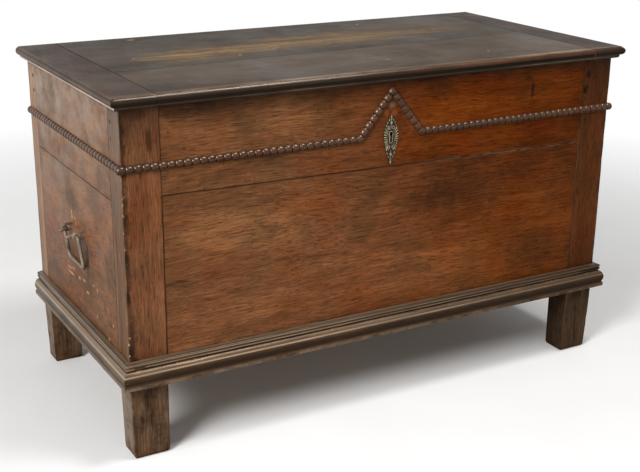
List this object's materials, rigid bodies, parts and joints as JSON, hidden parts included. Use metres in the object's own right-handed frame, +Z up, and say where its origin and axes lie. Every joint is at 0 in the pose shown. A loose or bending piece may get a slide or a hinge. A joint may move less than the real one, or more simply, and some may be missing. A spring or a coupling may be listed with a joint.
{
  "type": "coffer",
  "caption": "Joined wooden coffer on post feet: plank lid on strap hinges, bobbin bead moulding with a gable over the keyhole, base moulding, chest lock, bail handles.",
  "frame": {"origin": "on the floor under the middle of the lid", "axes": "+Z up, the front with the keyhole faces -Y, +X to the right as seen from the front"},
  "size_m": [1.2646, 0.614, 0.755],
  "materials": {
    "lid_wood": "worn waxed",
    "post_wood": "waxed",
    "rail_wood": "waxed",
    "panel_wood": "waxed",
    "moulding_wood": "waxed",
    "peg_wood": "waxed",
    "floor_wood": "bare",
    "iron": "worn, dull",
    "brass": "dull"
  },
  "bodies": {
    "carcase": {"back_bottom_rail": "rail_wood", "back_panel": "panel_wood", "back_top_rail": "rail_wood", "base_moulding_front": "moulding_wood", "base_moulding_left": "moulding_wood", "base_moulding_right": "moulding_wood", "bead_front_left": "moulding_wood", "bead_front_right": "moulding_wood", "bead_gable_left": "moulding_wood", "bead_gable_right": "moulding_wood", "bead_side_left": "moulding_wood", "bead_side_right": "moulding_wood", "escutcheon": "brass", "escutcheon_pins": "brass", "floor_board_1": "floor_wood", "floor_board_2": "floor_wood", "floor_board_3": "floor_wood", "floor_board_4": "floor_wood", "floor_board_5": "floor_wood", "floor_board_6": "floor_wood", "front_bottom_rail": "rail_wood", "front_panel": "panel_wood", "front_top_rail": "rail_wood", "hinge_leaf_left": "iron", "hinge_leaf_right": "iron", "hinge_nails": "iron", "hinge_pin_left": "iron", "hinge_pin_right": "iron", "left_bottom_rail": "rail_wood", "left_handle_eyes": "iron", "left_panel": "panel_wood", "left_top_rail": "rail_wood", "lock_bolt_guides": "iron", "lock_key_pin": "iron", "lock_nails": "iron", "lock_plate": "iron", "lock_spring": "iron", "post_front_left": "post_wood", "post_front_right": "post_wood", "post_rear_left": "post_wood", "post_rear_right": "post_wood", "right_bottom_rail": "rail_wood", "right_handle_eyes": "iron", "right_panel": "panel_wood", "right_top_rail": "rail_wood", "tenon_pegs": "peg_wood"},
    "lid": {"lid_front_board": "lid_wood", "lid_rear_board": "lid_wood", "lid_end_left": "lid_wood", "lid_end_right": "lid_wood", "lid_pegs": "lid_wood", "lid_strap_left": "iron", "lid_strap_right": "iron", "strap_nails": "iron", "lock_staple": "iron", "lock_staple_rivets": "iron"},
    "left_handle": {"left_handle_bail": "iron"},
    "right_handle": {"right_handle_bail": "iron"},
    "bolt": {"lock_bolt": "iron"}
  },
  "joints": [
    {"name": "lid_hinge", "type": "hinge", "parent": "carcase", "child": "lid", "pos_m": [0, 0.30005, 0.72195], "axis": [-1, 0, 0], "range_deg": [0, 105]},
    {"name": "left_handle_swing", "type": "hinge", "parent": "carcase", "child": "left_handle", "pos_m": [-0.613, 0.004, 0.408], "axis": [0, 1, 0], "range_deg": [0, 117]},
    {"name": "right_handle_swing", "type": "hinge", "parent": "carcase", "child": "right_handle", "pos_m": [0.613, 0.004, 0.408], "axis": [0, -1, 0], "range_deg": [0, 117]},
    {"name": "bolt_slide", "type": "slide", "parent": "carcase", "child": "bolt", "axis": [-1, 0, 0], "range_m": [0, 0.014]}
  ]
}
